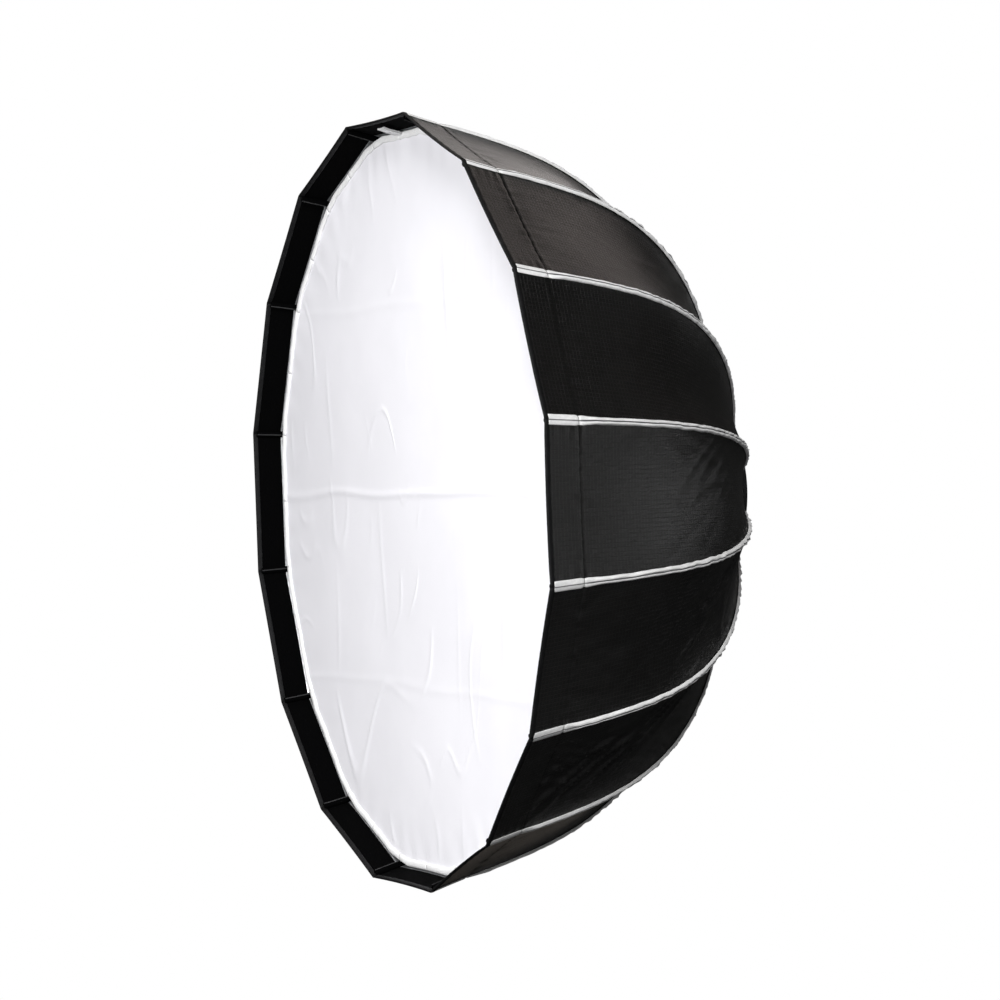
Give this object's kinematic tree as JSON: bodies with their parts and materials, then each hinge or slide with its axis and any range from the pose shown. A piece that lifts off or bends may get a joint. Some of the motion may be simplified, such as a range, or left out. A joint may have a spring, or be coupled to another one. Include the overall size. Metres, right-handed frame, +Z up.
{
  "type": "octabox",
  "caption": "Deep parabolic softbox with a black ribbed canopy on folding rods, a recessed white diffuser and a turning bayonet ring.",
  "frame": {"origin": "centre of the lamp mount's rear face, where it seats on the lamp", "axes": "+Y towards the lamp, so the light leaves towards -Y; +Z up, through the middle of the canopy's top panel; +X to the right seen from the front"},
  "size_m": [0.8828, 0.4346, 0.8828],
  "materials": {
    "bare_aluminium": "satin",
    "retainer_metal": "satin",
    "anodised_black": "satin",
    "satin_cover": "satin",
    "wire_steel": "polished",
    "screw_steel": "satin",
    "knob_plastic": "matte",
    "collar_elastic": "matte",
    "diffuser_white": "matte",
    "hook_and_loop_white": "matte",
    "webbing_white": "matte",
    "baffle_white": "matte",
    "rod_lacquer": "satin",
    "socket_nylon": "matte",
    "canopy_cloth": "matte"
  },
  "bodies": {
    "mount": {"mount_insert": "bare_aluminium", "mount_retainer": "retainer_metal"},
    "ring": {"ring_body": "anodised_black", "ring_cover": "satin_cover", "hinge_wire": "wire_steel", "rear_collar": "collar_elastic", "inner_baffle": "baffle_white"},
    "clamp": {"clamp_screw": "screw_steel", "clamp_knob": "knob_plastic"},
    "diffuser": {"front_diffuser": "diffuser_white", "diffuser_border": "hook_and_loop_white", "pull_tab": "webbing_white"},
    "rod_01": {"rod_01": "rod_lacquer", "rod_socket_01": "socket_nylon"},
    "rod_02": {"rod_02": "rod_lacquer", "rod_socket_02": "socket_nylon"},
    "rod_03": {"rod_03": "rod_lacquer", "rod_socket_03": "socket_nylon"},
    "rod_04": {"rod_04": "rod_lacquer", "rod_socket_04": "socket_nylon"},
    "rod_05": {"rod_05": "rod_lacquer", "rod_socket_05": "socket_nylon"},
    "rod_06": {"rod_06": "rod_lacquer", "rod_socket_06": "socket_nylon"},
    "rod_07": {"rod_07": "rod_lacquer", "rod_socket_07": "socket_nylon"},
    "rod_08": {"rod_08": "rod_lacquer", "rod_socket_08": "socket_nylon"},
    "rod_09": {"rod_09": "rod_lacquer", "rod_socket_09": "socket_nylon"},
    "rod_10": {"rod_10": "rod_lacquer", "rod_socket_10": "socket_nylon"},
    "rod_11": {"rod_11": "rod_lacquer", "rod_socket_11": "socket_nylon"},
    "rod_12": {"rod_12": "rod_lacquer", "rod_socket_12": "socket_nylon"},
    "rod_13": {"rod_13": "rod_lacquer", "rod_socket_13": "socket_nylon"},
    "rod_14": {"rod_14": "rod_lacquer", "rod_socket_14": "socket_nylon"},
    "rod_15": {"rod_15": "rod_lacquer", "rod_socket_15": "socket_nylon"},
    "rod_16": {"rod_16": "rod_lacquer", "rod_socket_16": "socket_nylon"},
    "panel_01": {"canopy_panel_01": "canopy_cloth"},
    "panel_02": {"canopy_panel_02": "canopy_cloth"},
    "panel_03": {"canopy_panel_03": "canopy_cloth"},
    "panel_04": {"canopy_panel_04": "canopy_cloth"},
    "panel_05": {"canopy_panel_05": "canopy_cloth"},
    "panel_06": {"canopy_panel_06": "canopy_cloth"},
    "panel_07": {"canopy_panel_07": "canopy_cloth"},
    "panel_08": {"canopy_panel_08": "canopy_cloth"},
    "panel_09": {"canopy_panel_09": "canopy_cloth"},
    "panel_10": {"canopy_panel_10": "canopy_cloth"},
    "panel_11": {"canopy_panel_11": "canopy_cloth"},
    "panel_12": {"canopy_panel_12": "canopy_cloth"},
    "panel_13": {"canopy_panel_13": "canopy_cloth"},
    "panel_14": {"canopy_panel_14": "canopy_cloth"},
    "panel_15": {"canopy_panel_15": "canopy_cloth"},
    "panel_16": {"canopy_panel_16": "canopy_cloth"}
  },
  "joints": [
    {"name": "ring_turn", "type": "hinge", "parent": "mount", "child": "ring", "pos_m": [0, -0.018, 0], "axis": [0, 1, 0], "continuous": true},
    {"name": "clamp_turn", "type": "hinge", "parent": "ring", "child": "clamp", "pos_m": [0, -0.0085, -0.0623], "axis": [0, 0, -1], "range_deg": [0, 540]},
    {"name": "diffuser_peel", "type": "slide", "parent": "ring", "child": "diffuser", "axis": [0, -1, 0], "range_m": [0, 0.25]},
    {"name": "fold_01", "type": "hinge", "parent": "ring", "child": "rod_01", "pos_m": [0.01643, -0.018, 0.08261], "axis": [0.9808, 0, -0.1951], "range_deg": [0, 44], "deforming": ["front_diffuser", "diffuser_border", "inner_baffle", "rear_collar", "canopy_panel_01", "canopy_panel_02", "canopy_panel_03", "canopy_panel_04", "canopy_panel_05", "canopy_panel_06", "canopy_panel_07", "canopy_panel_08", "canopy_panel_09", "canopy_panel_10", "canopy_panel_11", "canopy_panel_12", "canopy_panel_13", "canopy_panel_14", "canopy_panel_15", "canopy_panel_16"]},
    {"name": "fold_02", "type": "hinge", "parent": "ring", "child": "rod_02", "pos_m": [0.0468, -0.018, 0.07004], "axis": [0.8315, 0, -0.5556], "range_deg": [-0.5, 44.5]},
    {"name": "fold_03", "type": "hinge", "parent": "ring", "child": "rod_03", "pos_m": [0.07004, -0.018, 0.0468], "axis": [0.5556, 0, -0.8315], "range_deg": [-0.5, 44.5]},
    {"name": "fold_04", "type": "hinge", "parent": "ring", "child": "rod_04", "pos_m": [0.08261, -0.018, 0.01643], "axis": [0.1951, 0, -0.9808], "range_deg": [-0.5, 44.5]},
    {"name": "fold_05", "type": "hinge", "parent": "ring", "child": "rod_05", "pos_m": [0.08261, -0.018, -0.01643], "axis": [-0.1951, 0, -0.9808], "range_deg": [-0.5, 44.5]},
    {"name": "fold_06", "type": "hinge", "parent": "ring", "child": "rod_06", "pos_m": [0.07004, -0.018, -0.0468], "axis": [-0.5556, 0, -0.8315], "range_deg": [-0.5, 44.5]},
    {"name": "fold_07", "type": "hinge", "parent": "ring", "child": "rod_07", "pos_m": [0.0468, -0.018, -0.07004], "axis": [-0.8315, 0, -0.5556], "range_deg": [-0.5, 44.5]},
    {"name": "fold_08", "type": "hinge", "parent": "ring", "child": "rod_08", "pos_m": [0.01643, -0.018, -0.08261], "axis": [-0.9808, 0, -0.1951], "range_deg": [-0.5, 44.5]},
    {"name": "fold_09", "type": "hinge", "parent": "ring", "child": "rod_09", "pos_m": [-0.01643, -0.018, -0.08261], "axis": [-0.9808, 0, 0.1951], "range_deg": [-0.5, 44.5]},
    {"name": "fold_10", "type": "hinge", "parent": "ring", "child": "rod_10", "pos_m": [-0.0468, -0.018, -0.07004], "axis": [-0.8315, 0, 0.5556], "range_deg": [-0.5, 44.5]},
    {"name": "fold_11", "type": "hinge", "parent": "ring", "child": "rod_11", "pos_m": [-0.07004, -0.018, -0.0468], "axis": [-0.5556, 0, 0.8315], "range_deg": [-0.5, 44.5]},
    {"name": "fold_12", "type": "hinge", "parent": "ring", "child": "rod_12", "pos_m": [-0.08261, -0.018, -0.01643], "axis": [-0.1951, 0, 0.9808], "range_deg": [-0.5, 44.5]},
    {"name": "fold_13", "type": "hinge", "parent": "ring", "child": "rod_13", "pos_m": [-0.08261, -0.018, 0.01643], "axis": [0.1951, 0, 0.9808], "range_deg": [-0.5, 44.5]},
    {"name": "fold_14", "type": "hinge", "parent": "ring", "child": "rod_14", "pos_m": [-0.07004, -0.018, 0.0468], "axis": [0.5556, 0, 0.8315], "range_deg": [-0.5, 44.5]},
    {"name": "fold_15", "type": "hinge", "parent": "ring", "child": "rod_15", "pos_m": [-0.0468, -0.018, 0.07004], "axis": [0.8315, 0, 0.5556], "range_deg": [-0.5, 44.5]},
    {"name": "fold_16", "type": "hinge", "parent": "ring", "child": "rod_16", "pos_m": [-0.01643, -0.018, 0.08261], "axis": [0.9808, 0, 0.1951], "range_deg": [-0.5, 44.5]},
    {"name": "gather_01", "type": "hinge", "parent": "rod_01", "child": "panel_01", "pos_m": [0.03286, -0.018, 0.07934], "axis": [-0.3558, -0.3684, -0.8589], "range_deg": [-0.5, 17.26]},
    {"name": "gather_02", "type": "hinge", "parent": "rod_02", "child": "panel_02", "pos_m": [0.06073, -0.018, 0.06073], "axis": [-0.6574, -0.3684, -0.6574], "range_deg": [-0.5, 17.26]},
    {"name": "gather_03", "type": "hinge", "parent": "rod_03", "child": "panel_03", "pos_m": [0.07934, -0.018, 0.03286], "axis": [-0.8589, -0.3684, -0.3558], "range_deg": [-0.5, 17.26]},
    {"name": "gather_04", "type": "hinge", "parent": "rod_04", "child": "panel_04", "pos_m": [0.08588, -0.018, 0], "axis": [-0.9297, -0.3684, 0], "range_deg": [-0.5, 17.26]},
    {"name": "gather_05", "type": "hinge", "parent": "rod_05", "child": "panel_05", "pos_m": [0.07934, -0.018, -0.03286], "axis": [-0.8589, -0.3684, 0.3558], "range_deg": [-0.5, 17.26]},
    {"name": "gather_06", "type": "hinge", "parent": "rod_06", "child": "panel_06", "pos_m": [0.06073, -0.018, -0.06073], "axis": [-0.6574, -0.3684, 0.6574], "range_deg": [-0.5, 17.26]},
    {"name": "gather_07", "type": "hinge", "parent": "rod_07", "child": "panel_07", "pos_m": [0.03286, -0.018, -0.07934], "axis": [-0.3558, -0.3684, 0.8589], "range_deg": [-0.5, 17.26]},
    {"name": "gather_08", "type": "hinge", "parent": "rod_08", "child": "panel_08", "pos_m": [0, -0.018, -0.08588], "axis": [0, -0.3684, 0.9297], "range_deg": [-0.5, 17.26]},
    {"name": "gather_09", "type": "hinge", "parent": "rod_09", "child": "panel_09", "pos_m": [-0.03286, -0.018, -0.07934], "axis": [0.3558, -0.3684, 0.8589], "range_deg": [-0.5, 17.26]},
    {"name": "gather_10", "type": "hinge", "parent": "rod_10", "child": "panel_10", "pos_m": [-0.06073, -0.018, -0.06073], "axis": [0.6574, -0.3684, 0.6574], "range_deg": [-0.5, 17.26]},
    {"name": "gather_11", "type": "hinge", "parent": "rod_11", "child": "panel_11", "pos_m": [-0.07934, -0.018, -0.03286], "axis": [0.8589, -0.3684, 0.3558], "range_deg": [-0.5, 17.26]},
    {"name": "gather_12", "type": "hinge", "parent": "rod_12", "child": "panel_12", "pos_m": [-0.08588, -0.018, 0], "axis": [0.9297, -0.3684, 0], "range_deg": [-0.5, 17.26]},
    {"name": "gather_13", "type": "hinge", "parent": "rod_13", "child": "panel_13", "pos_m": [-0.07934, -0.018, 0.03286], "axis": [0.8589, -0.3684, -0.3558], "range_deg": [-0.5, 17.26]},
    {"name": "gather_14", "type": "hinge", "parent": "rod_14", "child": "panel_14", "pos_m": [-0.06073, -0.018, 0.06073], "axis": [0.6574, -0.3684, -0.6574], "range_deg": [-0.5, 17.26]},
    {"name": "gather_15", "type": "hinge", "parent": "rod_15", "child": "panel_15", "pos_m": [-0.03286, -0.018, 0.07934], "axis": [0.3558, -0.3684, -0.8589], "range_deg": [-0.5, 17.26]},
    {"name": "gather_16", "type": "hinge", "parent": "rod_16", "child": "panel_16", "pos_m": [0, -0.018, 0.08588], "axis": [0, -0.3684, -0.9297], "range_deg": [-0.5, 17.26]}
  ],
  "couplings": [
    {"joint": "fold_02", "follows": "fold_01", "ratio": 1},
    {"joint": "fold_03", "follows": "fold_01", "ratio": 1},
    {"joint": "fold_04", "follows": "fold_01", "ratio": 1},
    {"joint": "fold_05", "follows": "fold_01", "ratio": 1},
    {"joint": "fold_06", "follows": "fold_01", "ratio": 1},
    {"joint": "fold_07", "follows": "fold_01", "ratio": 1},
    {"joint": "fold_08", "follows": "fold_01", "ratio": 1},
    {"joint": "fold_09", "follows": "fold_01", "ratio": 1},
    {"joint": "fold_10", "follows": "fold_01", "ratio": 1},
    {"joint": "fold_11", "follows": "fold_01", "ratio": 1},
    {"joint": "fold_12", "follows": "fold_01", "ratio": 1},
    {"joint": "fold_13", "follows": "fold_01", "ratio": 1},
    {"joint": "fold_14", "follows": "fold_01", "ratio": 1},
    {"joint": "fold_15", "follows": "fold_01", "ratio": 1},
    {"joint": "fold_16", "follows": "fold_01", "ratio": 1},
    {"joint": "gather_01", "follows": "fold_01", "ratio": 0.381},
    {"joint": "gather_02", "follows": "fold_01", "ratio": 0.381},
    {"joint": "gather_03", "follows": "fold_01", "ratio": 0.381},
    {"joint": "gather_04", "follows": "fold_01", "ratio": 0.381},
    {"joint": "gather_05", "follows": "fold_01", "ratio": 0.381},
    {"joint": "gather_06", "follows": "fold_01", "ratio": 0.381},
    {"joint": "gather_07", "follows": "fold_01", "ratio": 0.381},
    {"joint": "gather_08", "follows": "fold_01", "ratio": 0.381},
    {"joint": "gather_09", "follows": "fold_01", "ratio": 0.381},
    {"joint": "gather_10", "follows": "fold_01", "ratio": 0.381},
    {"joint": "gather_11", "follows": "fold_01", "ratio": 0.381},
    {"joint": "gather_12", "follows": "fold_01", "ratio": 0.381},
    {"joint": "gather_13", "follows": "fold_01", "ratio": 0.381},
    {"joint": "gather_14", "follows": "fold_01", "ratio": 0.381},
    {"joint": "gather_15", "follows": "fold_01", "ratio": 0.381},
    {"joint": "gather_16", "follows": "fold_01", "ratio": 0.381}
  ]
}
